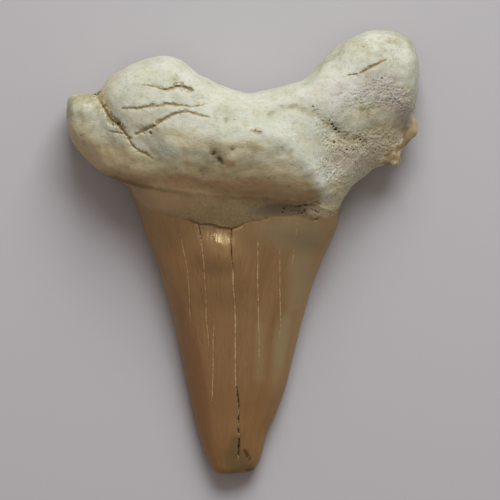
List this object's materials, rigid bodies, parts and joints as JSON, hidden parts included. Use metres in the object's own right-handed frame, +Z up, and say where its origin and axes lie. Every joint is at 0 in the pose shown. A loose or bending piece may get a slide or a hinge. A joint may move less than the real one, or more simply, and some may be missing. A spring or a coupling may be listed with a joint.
{
  "type": "fossil shark tooth",
  "caption": "Fossil shark tooth: a narrow pointed brown crown below a pale two-lobed root with a thick torus, lying on its flat face.",
  "frame": {"origin": "bottom centre of the tooth's box, on the surface that it lies on", "axes": "+Z up out of the torus face, +Y from the crown's tip to the root, +X across both lobes towards the taller one"},
  "size_m": [0.0396, 0.05, 0.014],
  "materials": {
    "fossil_tooth": "satin"
  },
  "bodies": {
    "root": {"tooth": "fossil_tooth"}
  },
  "joints": []
}
